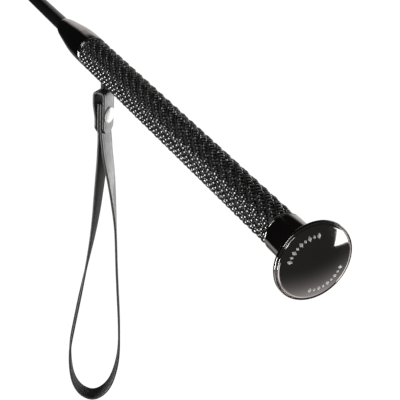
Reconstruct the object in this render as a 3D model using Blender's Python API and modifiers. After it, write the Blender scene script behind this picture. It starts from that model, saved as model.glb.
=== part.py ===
"""Riding crop: a mushroom knob, a collar, a grip wound in rhinestone ribbon, a ferrule, a tapered
shaft with a leather tongue at its tip, and a leather wrist strap that hangs under the grip.

Metres, +Z up. The crop lies level along X, with its knob at -X and its tongue at +X.
The origin is on the crop's axis at the middle of the grip, where a hand closes round it.
Touching pieces keep GAP between them.
"""

import math

import bmesh
import bpy
from mathutils import Matrix, Vector

MM = 0.001
GAP = 0.3 * MM

# Driving sizes.
KNOB_RADIUS = 20.0 * MM
COLLAR_RADIUS = 10.3 * MM
COLLAR_LENGTH = 25.3 * MM
GRIP_RADIUS = 9.5 * MM
GRIP_LENGTH = 236.0 * MM
CORE_RADIUS = 8.0 * MM
FERRULE_LENGTH = 50.2 * MM
SHAFT_RADIUS = 4.6 * MM
SHAFT_TIP_RADIUS = 2.7 * MM
TONGUE_LENGTH = 51.0 * MM
STRAP_WIDTH = 12.0 * MM
STRAP_THICKNESS = 1.5 * MM
TAB_THICKNESS = 1.5 * MM

# Stations along the crop's axis, from the knob to the tongue.
GRIP_START = -GRIP_LENGTH / 2
GRIP_END = GRIP_LENGTH / 2
COLLAR_END = GRIP_START - GAP
COLLAR_START = COLLAR_END - COLLAR_LENGTH
KNOB_BACK = COLLAR_START - GAP
COLLAR_WALL = 1.7 * MM
CORE_START = COLLAR_START + COLLAR_WALL + GAP
CORE_END = GRIP_END + 20.0 * MM
FERRULE_START = GRIP_END + GAP
FERRULE_END = FERRULE_START + FERRULE_LENGTH
ROD_START = -100.0 * MM
COVER_START = CORE_END + 12.0 * MM
TAPER_START = FERRULE_END + 6.5 * MM
COVER_END = 480.0 * MM
ROD_END = COVER_END + 17.0 * MM
ROOT_START = COVER_END - 10.0 * MM
ROOT_END = ROD_END + 3.3 * MM
TONGUE_HINGE = ROOT_END + 0.9 * MM
TONGUE_START = ROOT_END + 2.7 * MM
TONGUE_END = TONGUE_START + TONGUE_LENGTH

# Knob.
RIM_THICKNESS = 2.1 * MM
FACE_RADIUS = 18.4 * MM
FACE_RISE = 2.4 * MM
RECESS_RADIUS = COLLAR_RADIUS + 0.9 * MM
RECESS_DEPTH = 0.3 * MM
STUD_RADIUS = 3.0 * MM
STUD_DEPTH = 3.2 * MM
STUD_LENGTH = 19.0 * MM
INSERT_RADIUS = 5.2 * MM
INSERT_LENGTH = 14.3 * MM

# Shaft.
ROD_RADIUS = 3.6 * MM
COVER_WALL = 0.7 * MM

# Screw that holds the strap tab under the grip.
SCREW_X = 100.7 * MM
SHANK_RADIUS = 1.1 * MM
SHANK_TOP = -6.0 * MM
BOSS_RADIUS = 2.9 * MM
BOSS_TOP = -5.7 * MM
NECK_RADIUS = 1.9 * MM
NECK_TOP = -GRIP_RADIUS + 0.1 * MM
NECK_BOTTOM = -16.3 * MM

# Strap tab: a short leather strip folded over the screw's head. Offsets are across the tab's layers.
TAB_TOP = NECK_BOTTOM - GAP
TAB_TIP = -44.5 * MM
TAB_CLIP = -40.5 * MM
TAB_TIP_WIDTH = 6.0 * MM
TAB_OFFSET = 3.55 * MM
TAB_CORNER = 2.0 * MM
# One leg is drawn in against the strap's tails, from DRAW_TOP down to DRAW_BOTTOM.
DRAWN_OFFSET = 1.85 * MM
DRAW_TOP = -23.5 * MM
DRAW_BOTTOM = -36.5 * MM
TAIL_OFFSETS = {"strap_tail_front": 1.75 * MM, "strap_tail_back": -0.05 * MM}
TAIL_TOP = -24.5 * MM
TAIL_BOTTOM = -46.8 * MM
RIVET_Z = -32.6 * MM
RIVET_RADIUS = 5.25 * MM
RIVET_SHANK = 1.5 * MM
RIVET_HOLE = 1.8 * MM
REAR_FACE = 3.95 * MM
REAR_RADIUS = 3.8 * MM

# The height where the strap flexes under the tab, and that place's offset across the layers.
FLEX_Z = -47.5 * MM
FLEX_OFFSET = 1.5 * MM

# Wrist loop. The strap's flat faces turn from TAB_YAW to LOOP_YAW as it leaves the tab, one leg
# lower down than the other: each twist is its lower and its upper end.
TAB_YAW = math.radians(-53.8)
LOOP_YAW = math.radians(-22.8)
NEAR_TWIST = (-175.0 * MM, -60.0 * MM)
FAR_TWIST = (-135.0 * MM, -45.0 * MM)
LOOP_TOP = -52.0 * MM
# Offset across the strap's plane and height, in millimetres, down the near leg and up the far one.
LOOP_ROUTE = [
    (0.5, -45), (0.55, -52), (0.2, -64), (-0.7, -77), (-1.8, -91), (-3.0, -105.5), (-4.7, -120.5),
    (-6.8, -135), (-9.4, -151), (-14.8, -184), (-17.9, -208), (-16.4, -229), (-11.0, -241.5),
    (-2.4, -246.5), (5.6, -242.5), (11.4, -232), (14.9, -213), (14.7, -188), (12.4, -156),
    (11.1, -140.5), (10.1, -125), (8.8, -110), (7.6, -95), (6.4, -80), (5.1, -67.5), (3.9, -59),
    (3.1, -52), (2.2, -45),
]

TAB_PIECES = ["strap_tab", "strap_tail_front", "strap_tail_back", "rivet_cap", "rivet_post"]

ROUND = 32
SMALL_ROUND = 20


# ---------------------------------------------------------------- scene and finishes


def clear_scene():
    for obj in list(bpy.data.objects):
        bpy.data.objects.remove(obj)


def new_collection(name):
    collection = bpy.data.collections.new(name)
    bpy.context.scene.collection.children.link(collection)
    return collection


clear_scene()
PARTS = new_collection("riding_crop")
CUTTERS = new_collection("cutters")

BLACK_NICKEL = ((0.05, 0.047, 0.047), 0.08, 1.0)
STEEL = ((0.62, 0.62, 0.61), 0.25, 1.0)
BRASS = ((0.72, 0.55, 0.28), 0.3, 1.0)
BLACK_PLASTIC = ((0.03, 0.03, 0.03), 0.5, 0.0)
GLASS_FIBRE = ((0.72, 0.70, 0.58), 0.45, 0.0)
LACQUER = ((0.012, 0.012, 0.013), 0.12, 0.0)
STONES = ((0.015, 0.015, 0.016), 0.1, 0.0)
LEATHER = ((0.02, 0.019, 0.018), 0.4, 0.0)
THREAD = ((0.015, 0.015, 0.015), 0.7, 0.0)
WHITE_METAL = ((0.9, 0.9, 0.9), 0.2, 1.0)


def finish(obj, look):
    """Gives obj a material of its own."""
    colour, roughness, metallic = look
    material = bpy.data.materials.new(obj.name)
    material.use_nodes = True
    shader = material.node_tree.nodes["Principled BSDF"]
    shader.inputs["Base Color"].default_value = (*colour, 1.0)
    shader.inputs["Roughness"].default_value = roughness
    shader.inputs["Metallic"].default_value = metallic
    obj.data.materials.append(material)
    return obj


# ---------------------------------------------------------------- modelling tools


def turned(name, profile, axis=(1, 0, 0), origin=(0, 0, 0), closed=False, steps=ROUND):
    """A body turned about axis through origin. The profile is (radius, height along the axis)
    pairs and runs down the outer side; closed joins its two ends, for a body with a bore."""
    shape = bmesh.new()
    corners = [shape.verts.new((radius, 0, height)) for radius, height in profile]
    for first, second in zip(corners, corners[1:]):
        shape.edges.new((first, second))
    if closed:
        shape.edges.new((corners[-1], corners[0]))
    mesh = bpy.data.meshes.new(name)
    shape.to_mesh(mesh)
    shape.free()
    obj = bpy.data.objects.new(name, mesh)
    PARTS.objects.link(obj)
    obj.rotation_mode = "QUATERNION"
    obj.rotation_quaternion = Vector((0, 0, 1)).rotation_difference(Vector(axis))
    obj.location = origin
    turn = obj.modifiers.new("Turn", "SCREW")
    turn.axis = "Z"
    turn.angle = 2 * math.pi
    turn.steps = steps
    turn.render_steps = steps
    turn.use_merge_vertices = True
    turn.merge_threshold = 0.000001
    turn.use_smooth_shade = True
    return obj


def sleeve(name, outer, inner, **placing):
    """A turned body with a bore: outer runs down its outside, inner up its bore."""
    return turned(name, outer + inner, closed=True, **placing)


def ribbon(name, stations, thickness):
    """A strip of leather. Each station is the middle of the strip, the direction across it and
    its width there."""
    last = len(stations) - 1
    shape = bmesh.new()
    bmesh.ops.create_grid(shape, x_segments=last, y_segments=1, size=0.5)
    for corner in shape.verts:
        middle, across, width = stations[round((corner.co.x + 0.5) * last)]
        side = math.copysign(0.5, corner.co.y)
        corner.co = middle + across * (side * width)
    mesh = bpy.data.meshes.new(name)
    shape.to_mesh(mesh)
    shape.free()
    obj = bpy.data.objects.new(name, mesh)
    PARTS.objects.link(obj)
    shell = obj.modifiers.new("Leather", "SOLIDIFY")
    shell.thickness = thickness
    shell.offset = 0
    shell.use_even_offset = True
    return obj


def drill(obj, radius, top, bottom, axis=(0, 0, 1), origin=(0, 0, 0)):
    """Cuts a round hole through obj, from bottom to top along axis."""
    profile = [(0, top), (radius, top), (radius, bottom), (0, bottom)]
    cutter = turned(obj.name + "_hole", profile, axis, origin, steps=SMALL_ROUND)
    PARTS.objects.unlink(cutter)
    CUTTERS.objects.link(cutter)
    cutter.hide_render = True
    cutter.display_type = "WIRE"
    cut = obj.modifiers.new("Hole", "BOOLEAN")
    cut.object = cutter
    cut.operation = "DIFFERENCE"
    cut.solver = "EXACT"
    return obj


def carry(name, pivot, pieces):
    """Hangs the named pieces on an empty that stands on their joint's axis."""
    empty = bpy.data.objects.new(name, None)
    empty.location = pivot
    PARTS.objects.link(empty)
    for piece in pieces:
        obj = PARTS.objects[piece]
        obj.parent = empty
        obj.matrix_parent_inverse = Matrix.Translation(-Vector(pivot))


def smooth_step(value, start, end):
    """0 before start, 1 after end, and an even turn between them."""
    share = min(max((value - start) / (end - start), 0.0), 1.0)
    return share * share * (3 - 2 * share)


def smooth_route(points, steps):
    """Points along a Catmull-Rom curve through the given points, steps to each stretch."""
    route = []
    for index in range(1, len(points) - 2):
        before, start, end, after = (Vector(p) for p in points[index - 1 : index + 3])
        for step in range(steps):
            t = step / steps
            route.append(
                0.5
                * (
                    2 * start
                    + (end - before) * t
                    + (2 * before - 5 * start + 4 * end - after) * t**2
                    + (3 * start - before - 3 * end + after) * t**3
                )
            )
    route.append(Vector(points[-2]))
    return route


# ---------------------------------------------------------------- knob, collar and grip


def make_knob():
    """The mushroom knob: a thin rim and a low dome for its face. Its back is a flat annulus
    round a shallow recess that the collar's end stands over."""
    rim_front = KNOB_BACK - RIM_THICKNESS
    sphere = (FACE_RADIUS**2 + FACE_RISE**2) / (2 * FACE_RISE)
    face_edge = rim_front - 0.7 * MM
    profile = [
        (0, KNOB_BACK - STUD_DEPTH - GAP),
        (STUD_RADIUS + GAP, KNOB_BACK - STUD_DEPTH - GAP),
        (STUD_RADIUS + GAP, KNOB_BACK - RECESS_DEPTH),
        (RECESS_RADIUS, KNOB_BACK - RECESS_DEPTH),
        (RECESS_RADIUS, KNOB_BACK),
        (KNOB_RADIUS - 0.7 * MM, KNOB_BACK),
        (KNOB_RADIUS - 0.2 * MM, KNOB_BACK - 0.3 * MM),
        (KNOB_RADIUS, KNOB_BACK - 0.8 * MM),
        (KNOB_RADIUS, rim_front),
        (KNOB_RADIUS - 0.5 * MM, rim_front - 0.5 * MM),
    ]
    rings = 7
    for ring in range(rings + 1):
        radius = FACE_RADIUS * (1 - ring / rings)
        drop = math.sqrt(sphere**2 - radius**2) - (sphere - FACE_RISE)
        profile.append((radius, face_edge - drop))
    finish(turned("knob_cap", profile, steps=40), BLACK_NICKEL)


def make_knob_fixing():
    """The threaded stud in the knob and the brass insert that it screws into."""
    stud_front = KNOB_BACK - STUD_DEPTH
    stud_end = stud_front + STUD_LENGTH
    chamfer = 0.5 * MM
    profile = [
        (0, stud_end),
        (STUD_RADIUS - chamfer, stud_end),
        (STUD_RADIUS, stud_end - chamfer),
        (STUD_RADIUS, stud_front),
        (0, stud_front),
    ]
    finish(turned("knob_stud", profile, steps=SMALL_ROUND), STEEL)
    start = CORE_START + GAP
    end = start + INSERT_LENGTH
    outer = [(INSERT_RADIUS, end), (INSERT_RADIUS, start)]
    inner = [(STUD_RADIUS + GAP, start), (STUD_RADIUS + GAP, end)]
    finish(sleeve("stud_insert", outer, inner, steps=SMALL_ROUND), BRASS)


def make_collar():
    """The plated collar between the knob and the grip: a cup over the end of the grip's core."""
    outer = [
        (COLLAR_RADIUS - 0.7 * MM, COLLAR_END),
        (COLLAR_RADIUS - 0.25 * MM, COLLAR_END - 0.3 * MM),
        (COLLAR_RADIUS, COLLAR_END - 1.1 * MM),
        (COLLAR_RADIUS, COLLAR_START + 0.9 * MM),
        (COLLAR_RADIUS - 0.25 * MM, COLLAR_START + 0.3 * MM),
        (COLLAR_RADIUS - 0.7 * MM, COLLAR_START),
    ]
    bore = CORE_RADIUS + GAP
    inner = [
        (STUD_RADIUS + GAP, COLLAR_START),
        (STUD_RADIUS + GAP, COLLAR_START + COLLAR_WALL),
        (bore, COLLAR_START + COLLAR_WALL),
        (bore, COLLAR_END),
    ]
    finish(sleeve("neck_collar", outer, inner), BLACK_NICKEL)


def make_grip():
    """The moulded core, bored for the rod and the insert, and the ribbon of stones wound on it."""
    insert_hole = INSERT_RADIUS + GAP
    insert_end = CORE_START + GAP + INSERT_LENGTH + GAP
    rod_hole = ROD_RADIUS + GAP
    rod_end = ROD_START - GAP
    profile = [
        (0, rod_end),
        (rod_hole, rod_end),
        (rod_hole, CORE_END),
        (CORE_RADIUS, CORE_END),
        (CORE_RADIUS, CORE_START),
        (insert_hole, CORE_START),
        (insert_hole, insert_end),
        (0, insert_end),
    ]
    core = turned("grip_core", profile)
    under = (SCREW_X, 0, 0)
    drill(core, BOSS_RADIUS + GAP, BOSS_TOP + 0.5 * MM, -2 * CORE_RADIUS, origin=under)
    finish(core, BLACK_PLASTIC)
    edge = 0.3 * MM
    outer = [
        (GRIP_RADIUS - edge, GRIP_END),
        (GRIP_RADIUS, GRIP_END - edge),
        (GRIP_RADIUS, GRIP_START + edge),
        (GRIP_RADIUS - edge, GRIP_START),
    ]
    inner = [(CORE_RADIUS + GAP, GRIP_START), (CORE_RADIUS + GAP, GRIP_END)]
    wrap = sleeve("stone_wrap", outer, inner, steps=40)
    drill(wrap, BOSS_RADIUS + GAP, -CORE_RADIUS / 2, -2 * CORE_RADIUS, origin=under)
    finish(wrap, STONES)


# ---------------------------------------------------------------- ferrule, shaft and tongue


def cover_radius(x):
    """The shaft's outer radius, tapering evenly from the ferrule to the tip."""
    share = (x - TAPER_START) / (COVER_END - TAPER_START)
    return SHAFT_RADIUS + (SHAFT_TIP_RADIUS - SHAFT_RADIUS) * max(share, 0.0)


def make_ferrule():
    """The plated ferrule that closes the grip on the shaft, and the bush inside it."""
    mouth = FERRULE_END
    outer = [
        (5.1 * MM, mouth),
        (5.5 * MM, mouth - 0.4 * MM),
        (6.05 * MM, mouth - 2.2 * MM),
        (6.6 * MM, mouth - 5.3 * MM),
        (7.2 * MM, mouth - 9.5 * MM),
        (7.8 * MM, mouth - 14.5 * MM),
        (8.45 * MM, mouth - 19.5 * MM),
        (9.05 * MM, mouth - 24.5 * MM),
        (9.5 * MM, mouth - 29.5 * MM),
        (9.75 * MM, mouth - 34.5 * MM),
        (9.85 * MM, mouth - 40.5 * MM),
        (9.9 * MM, FERRULE_START + 1.0 * MM),
        (9.7 * MM, FERRULE_START + 0.3 * MM),
        (9.3 * MM, FERRULE_START),
    ]
    bore = CORE_RADIUS + GAP
    throat = SHAFT_RADIUS + GAP
    inner = [
        (bore, FERRULE_START),
        (bore, CORE_END + 1.0 * MM),
        (7.0 * MM, COVER_START),
        (5.8 * MM, COVER_START + 10.0 * MM),
        (throat, mouth - 2.5 * MM),
        (throat, mouth),
    ]
    finish(sleeve("ferrule", outer, inner), BLACK_NICKEL)
    start = CORE_END + GAP
    end = COVER_START - GAP
    bush_outer = [
        (6.65 * MM, end),
        (CORE_RADIUS - 0.1 * MM, start + 0.9 * MM),
        (CORE_RADIUS - 0.1 * MM, start),
    ]
    bush_inner = [(ROD_RADIUS + GAP, start), (ROD_RADIUS + GAP, end)]
    finish(sleeve("ferrule_bush", bush_outer, bush_inner, steps=SMALL_ROUND), BLACK_PLASTIC)


def make_shaft():
    """The glass-fibre rod that runs from the grip to the tip, its cover and its tip cap."""
    step = COVER_WALL + GAP
    rod = [
        (0, ROD_END),
        (cover_radius(ROD_END) - step, ROD_END),
        (ROD_RADIUS, TAPER_START),
        (ROD_RADIUS, ROD_START),
        (0, ROD_START),
    ]
    finish(turned("shaft_rod", rod, steps=SMALL_ROUND), GLASS_FIBRE)
    outer = [
        (SHAFT_TIP_RADIUS, COVER_END),
        (SHAFT_RADIUS, TAPER_START),
        (SHAFT_RADIUS, COVER_START),
    ]
    inner = [
        (SHAFT_RADIUS - COVER_WALL, COVER_START),
        (SHAFT_RADIUS - COVER_WALL, TAPER_START),
        (SHAFT_TIP_RADIUS - COVER_WALL, COVER_END),
    ]
    finish(sleeve("shaft_cover", outer, inner, steps=28), LACQUER)
    cap_start = COVER_END + 1.0 * MM
    cap_end = ROD_END + 2.3 * MM
    cap_radius = 2.65 * MM
    cap_bore = 2.0 * MM
    cap = [
        (0, cap_end),
        (cap_bore, cap_end),
        (cap_radius, cap_end - 0.6 * MM),
        (cap_radius, cap_start),
        (cap_bore, cap_start),
        (cap_bore, ROD_END + GAP),
        (0, ROD_END + GAP),
    ]
    finish(turned("rod_tip_cap", cap, steps=SMALL_ROUND), BLACK_PLASTIC)


def tongue_width(x):
    """The tongue's width: it flares from its root, and its end has round corners."""
    root, full, corner = 11.0 * MM, 24.0 * MM, 8.0 * MM
    width = root + (full - root) * smooth_step(x, TONGUE_START, TONGUE_END - 14 * MM)
    into_corner = min(max(x - (TONGUE_END - corner), 0.0), corner)
    return width - 2 * (corner - math.sqrt(corner**2 - into_corner**2))


def make_tongue():
    """The leather tongue: a root bound round the shaft's tip, and a flap of two layers."""
    outer_radius = 4.7 * MM
    bore = 3.0 * MM
    outer = [(outer_radius, ROOT_END), (outer_radius, ROOT_START)]
    inner = [(bore, ROOT_START), (bore, ROOT_END)]
    finish(sleeve("tongue_root", outer, inner, steps=24), LEATHER)
    start = ROOT_START + 2.0 * MM
    end = start + 14.0 * MM
    outer = [(outer_radius + 1.0 * MM, end), (outer_radius + 1.0 * MM, start)]
    inner = [(outer_radius + GAP, start), (outer_radius + GAP, end)]
    finish(sleeve("tongue_whipping", outer, inner, steps=24), THREAD)
    layer = 1.8 * MM
    pieces = 22
    for name, side in (("tongue_layer_left", 1), ("tongue_layer_right", -1)):
        y = side * (layer + GAP) / 2
        stations = []
        for piece in range(pieces + 1):
            # Stations crowd towards the round end.
            x = TONGUE_START + TONGUE_LENGTH * math.sin(math.pi / 2 * piece / pieces)
            stations.append((Vector((x, y, 0)), Vector((0, 0, 1)), tongue_width(x)))
        finish(ribbon(name, stations, layer), LEATHER)


# ---------------------------------------------------------------- wrist strap


def strap_yaw(z, twist):
    """The heading of the direction across the strap, at a height of the leg with this twist."""
    return LOOP_YAW + (TAB_YAW - LOOP_YAW) * smooth_step(z, *twist)


def strap_station(offset, z, width=STRAP_WIDTH, twist=FAR_TWIST):
    """A station of the strap: offset is across its layers, along its plane's normal at the tab."""
    yaw = strap_yaw(z, twist)
    across = Vector((math.cos(yaw), math.sin(yaw), 0))
    outward = Vector((math.sin(yaw), -math.cos(yaw), 0))
    return Vector((SCREW_X, 0, z)) + outward * offset, across, width


def make_strap_screw():
    """The boss in the grip, the screw that holds the tab on it, and the screw's washer."""
    axis = {"axis": (0, 0, 1), "origin": (SCREW_X, 0, 0), "steps": SMALL_ROUND}
    hole = SHANK_RADIUS + GAP
    outer = [
        (BOSS_RADIUS, BOSS_TOP),
        (BOSS_RADIUS, NECK_TOP),
        (NECK_RADIUS, NECK_TOP),
        (NECK_RADIUS, NECK_BOTTOM),
    ]
    inner = [(hole, NECK_BOTTOM), (hole, BOSS_TOP)]
    finish(sleeve("strap_boss", outer, inner, **axis), BLACK_NICKEL)
    washer_top = TAB_TOP - TAB_THICKNESS - GAP
    washer_bottom = washer_top - 0.6 * MM
    washer_radius = 2.0 * MM
    outer = [(washer_radius, washer_top), (washer_radius, washer_bottom)]
    inner = [(hole, washer_bottom), (hole, washer_top)]
    finish(sleeve("screw_washer", outer, inner, **axis), STEEL)
    head_top = washer_bottom - GAP
    head_radius = 1.8 * MM
    screw = [
        (0, SHANK_TOP),
        (SHANK_RADIUS, SHANK_TOP),
        (SHANK_RADIUS, head_top),
        (head_radius, head_top),
        (head_radius, head_top - 0.7 * MM),
        (head_radius * 0.7, head_top - 1.4 * MM),
        (0, head_top - 1.6 * MM),
    ]
    finish(turned("strap_screw", screw, **axis), STEEL)


def near_leg_offset(z):
    """How far out the tab's near leg stands, at a height."""
    return DRAWN_OFFSET + (TAB_OFFSET - DRAWN_OFFSET) * smooth_step(z, DRAW_BOTTOM, DRAW_TOP)


def tab_stations():
    """Up one leg of the tab, over its crown and down the other; both tips are clipped narrow."""
    corner_z = TAB_TOP - TAB_THICKNESS / 2 - TAB_CORNER
    legs = [(TAB_TIP, TAB_TIP_WIDTH), (TAB_CLIP, STRAP_WIDTH)]
    legs += [(z * MM, STRAP_WIDTH) for z in (-36.5, -33.5, -30.0, -26.5, -23.5)]
    near = [strap_station(-near_leg_offset(z), z, width) for z, width in legs]
    far = [strap_station(TAB_OFFSET, z, width) for z, width in reversed(legs)]
    bend = 5
    for step in range(bend + 1):
        angle = math.pi / 2 * step / bend
        offset = TAB_OFFSET - TAB_CORNER * (1 - math.cos(angle))
        z = corner_z + TAB_CORNER * math.sin(angle)
        near.append(strap_station(-offset, z))
        far.insert(0, strap_station(offset, z))
    return near + far


def make_strap_tab():
    """The folded tab, the strap's two tails between its legs, and the rivet through all four."""
    across = Vector((math.cos(TAB_YAW), math.sin(TAB_YAW), 0))
    outward = Vector((math.sin(TAB_YAW), -math.cos(TAB_YAW), 0))
    rivet = {"axis": outward, "origin": (SCREW_X, 0, RIVET_Z)}
    tab = ribbon("strap_tab", tab_stations(), TAB_THICKNESS)
    below_crown = TAB_TOP - 3 * TAB_THICKNESS
    drill(tab, SHANK_RADIUS + GAP, 0, below_crown, origin=(SCREW_X, 0, 0))
    drill(tab, RIVET_HOLE, 2 * TAB_OFFSET, -2 * TAB_OFFSET, **rivet)
    finish(tab, LEATHER)
    for name, offset in TAIL_OFFSETS.items():
        stations = []
        for z in (TAIL_TOP, RIVET_Z, TAIL_BOTTOM):
            middle = Vector((SCREW_X, 0, z)) + outward * offset
            stations.append((middle, across, STRAP_WIDTH))
        tail = ribbon(name, stations, STRAP_THICKNESS)
        drill(tail, RIVET_HOLE, 2 * TAB_OFFSET, -2 * TAB_OFFSET, **rivet)
        finish(tail, LEATHER)
    face = TAB_OFFSET + TAB_THICKNESS / 2 + GAP
    cap = [
        (0, face + 1.3 * MM),
        (RIVET_RADIUS * 0.55, face + 1.15 * MM),
        (RIVET_RADIUS * 0.88, face + 0.7 * MM),
        (RIVET_RADIUS, face),
        (0, face),
    ]
    finish(turned("rivet_cap", cap, steps=24, **rivet), WHITE_METAL)
    post = [
        (0, face - GAP),
        (RIVET_SHANK, face - GAP),
        (RIVET_SHANK, -REAR_FACE),
        (REAR_RADIUS, -REAR_FACE),
        (REAR_RADIUS * 0.9, -REAR_FACE - 0.6 * MM),
        (REAR_RADIUS * 0.5, -REAR_FACE - 0.9 * MM),
        (0, -REAR_FACE - 1.0 * MM),
    ]
    finish(turned("rivet_post", post, steps=24, **rivet), WHITE_METAL)


def make_wrist_loop():
    """The hanging loop of the strap, below the place where it flexes under the tab."""
    route = [Vector((offset * MM, z * MM, 0)) for offset, z in LOOP_ROUTE]
    points = smooth_route(route, 3)
    lowest = min(points, key=lambda p: p.y)
    near = points[: points.index(lowest)]
    far = points[points.index(lowest) :]
    stations = [strap_station(p.x, p.y, twist=NEAR_TWIST) for p in near]
    stations += [strap_station(p.x, p.y) for p in far]
    stations = [station for station in stations if station[0].z <= LOOP_TOP + GAP]
    finish(ribbon("wrist_loop", stations, STRAP_THICKNESS), LEATHER)


make_knob()
make_knob_fixing()
make_collar()
make_grip()
make_ferrule()
make_shaft()
make_tongue()
make_strap_screw()
make_strap_tab()
make_wrist_loop()
carry("tongue_pivot", (TONGUE_HINGE, 0, 0), ["tongue_layer_left", "tongue_layer_right"])
carry("tab_pivot", (SCREW_X, 0, TAB_TOP), TAB_PIECES)
carry("loop_pivot", strap_station(FLEX_OFFSET, FLEX_Z)[0], ["wrist_loop"])
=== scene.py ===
"""The looks of a riding crop: a mushroom knob, a collar, a grip wound in a ribbon of faceted stones,
a ferrule, a lacquered shaft with a leather tongue, and a leather wrist strap under the grip.

Metres, +Z up. The crop lies along X, with its knob at -X and its tongue at +X."""

import math
import random

import bmesh
import bpy
from mathutils import Matrix, Vector


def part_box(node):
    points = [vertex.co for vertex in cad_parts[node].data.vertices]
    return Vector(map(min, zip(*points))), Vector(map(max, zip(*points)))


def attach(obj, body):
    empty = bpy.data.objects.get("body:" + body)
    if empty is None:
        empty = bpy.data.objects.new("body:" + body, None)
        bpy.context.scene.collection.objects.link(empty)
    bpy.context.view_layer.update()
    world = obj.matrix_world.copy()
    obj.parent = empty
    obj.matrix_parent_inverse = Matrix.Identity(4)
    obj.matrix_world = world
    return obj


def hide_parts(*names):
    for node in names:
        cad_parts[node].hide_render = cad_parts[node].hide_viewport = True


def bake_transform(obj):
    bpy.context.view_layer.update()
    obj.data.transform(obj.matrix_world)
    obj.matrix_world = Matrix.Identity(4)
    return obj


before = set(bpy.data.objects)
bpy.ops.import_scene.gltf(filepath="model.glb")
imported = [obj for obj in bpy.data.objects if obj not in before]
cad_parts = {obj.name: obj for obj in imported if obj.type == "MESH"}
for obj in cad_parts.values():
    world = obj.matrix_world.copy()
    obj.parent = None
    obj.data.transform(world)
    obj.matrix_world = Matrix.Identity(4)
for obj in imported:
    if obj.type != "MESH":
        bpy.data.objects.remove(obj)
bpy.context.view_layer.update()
MM = 0.001
random.seed(7)

X_AXIS = Vector((1, 0, 0))

# ---------------------------------------------------------------- camera

VIEW_AZIMUTH = math.radians(152.1871)
VIEW_ELEVATION = math.radians(27.8267)
VIEW_ROLL = math.radians(4.0167)
VIEW_POINT = Vector((-0.146, 0.06048, 0.04058))
VIEW_DISTANCE = 0.49189


def make_camera():
    """A camera that looks down at VIEW_POINT from the knob's side, tilted a little to one side."""
    outward = Vector((math.cos(VIEW_AZIMUTH), math.sin(VIEW_AZIMUTH), 0))
    back = outward * math.cos(VIEW_ELEVATION) + Vector((0, 0, math.sin(VIEW_ELEVATION)))
    level = Vector((-math.sin(VIEW_AZIMUTH), math.cos(VIEW_AZIMUTH), 0))
    right = level * math.cos(VIEW_ROLL) + back.cross(level) * math.sin(VIEW_ROLL)
    matrix = Matrix((right, back.cross(right), back)).transposed().to_4x4()
    matrix.translation = VIEW_POINT + back * VIEW_DISTANCE
    camera = bpy.data.objects.new("camera", bpy.data.cameras.new("camera"))
    bpy.context.scene.collection.objects.link(camera)
    camera.matrix_world = matrix
    camera.data.sensor_width = 36.0
    camera.data.lens = 108.776
    camera.data.shift_x = 0.00695
    camera.data.shift_y = 0.00445
    camera.data.clip_start = 0.01
    camera.data.clip_end = 40.0
    bpy.context.scene.camera = camera


make_camera()

# ---------------------------------------------------------------- mesh tools


def to_object(shape, name, material=None, sharp=35.0):
    """An object made of a bmesh. Edges that bend by more than sharp degrees stay crisp."""
    bmesh.ops.recalc_face_normals(shape, faces=shape.faces)
    limit = math.radians(sharp)
    for face in shape.faces:
        face.smooth = True
    for edge in shape.edges:
        if len(edge.link_faces) == 2:
            edge.smooth = edge.calc_face_angle(0.0) < limit
    mesh = bpy.data.meshes.new(name)
    shape.to_mesh(mesh)
    shape.free()
    obj = bpy.data.objects.new(name, mesh)
    bpy.context.scene.collection.objects.link(obj)
    if material:
        mesh.materials.append(material)
    return obj


def place(obj, body, slot, *nodes):
    """Says what body a piece rides on and the CAD nodes it stands for; its slot argument is not used.
    """
    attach(obj, body)
    if nodes:
        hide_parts(*nodes)
    return obj


def ring_frame(axis):
    """Two directions square to axis."""
    side = Vector((0, 1, 0)) if abs(axis.y) < 0.9 else Vector((1, 0, 0))
    first = axis.cross(side).normalized()
    return first, axis.cross(first).normalized()


def circle(count, start=0.0):
    """The angles of count places round a circle, start steps on from zero."""
    return [2 * math.pi * (step + start) / count for step in range(count)]


def walls(shape, low, high):
    """The faces between two rings of the same number of points."""
    made = []
    for step in range(len(low)):
        after = (step + 1) % len(low)
        made.append(shape.faces.new((low[step], low[after], high[after], high[step])))
    return made


def skin(shape, rings):
    """A tube through the rings, closed by a flat face at both ends."""
    for low, high in zip(rings, rings[1:]):
        walls(shape, low, high)
    shape.faces.new(rings[0])
    shape.faces.new(rings[-1])


def rounded(profile, radius, steps=4):
    """The profile with each inner corner cut to an arc of about radius."""
    points = [Vector(p) for p in profile]
    made = [points[0]]
    for before, corner, after in zip(points, points[1:], points[2:]):
        reach = min(radius, (before - corner).length * 0.45, (after - corner).length * 0.45)
        start = corner + (before - corner).normalized() * reach
        end = corner + (after - corner).normalized() * reach
        for step in range(steps + 1):
            t = step / steps
            made.append(start * (1 - t) ** 2 + corner * (2 * t * (1 - t)) + end * t * t)
    made.append(points[-1])
    return made


def turned(name, profile, material, origin=(0, 0, 0), axis=X_AXIS, steps=128, closed=False, sharp=35.0):
    """A body turned about axis. The profile is (height along the axis, radius) pairs. A closed
    profile joins its last point to its first."""
    shape = bmesh.new()
    first, second = ring_frame(axis)
    middle = Vector(origin)
    rings = []
    for height, radius in profile:
        base = middle + axis * height
        if radius < 1e-7:
            rings.append([shape.verts.new(base)])
            continue
        spokes = [first * math.cos(angle) + second * math.sin(angle) for angle in circle(steps)]
        rings.append([shape.verts.new(base + spoke * radius) for spoke in spokes])
    pairs = list(zip(rings, rings[1:]))
    if closed:
        pairs.append((rings[-1], rings[0]))
    for low, high in pairs:
        for step in range(steps):
            after = (step + 1) % steps
            corners = [low[step % len(low)], low[after % len(low)]]
            corners += [high[after % len(high)], high[step % len(high)]]
            unique = []
            for corner in corners:
                if corner not in unique:
                    unique.append(corner)
            if len(unique) > 2:
                shape.faces.new(unique)
    return to_object(shape, name, material, sharp)


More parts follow.
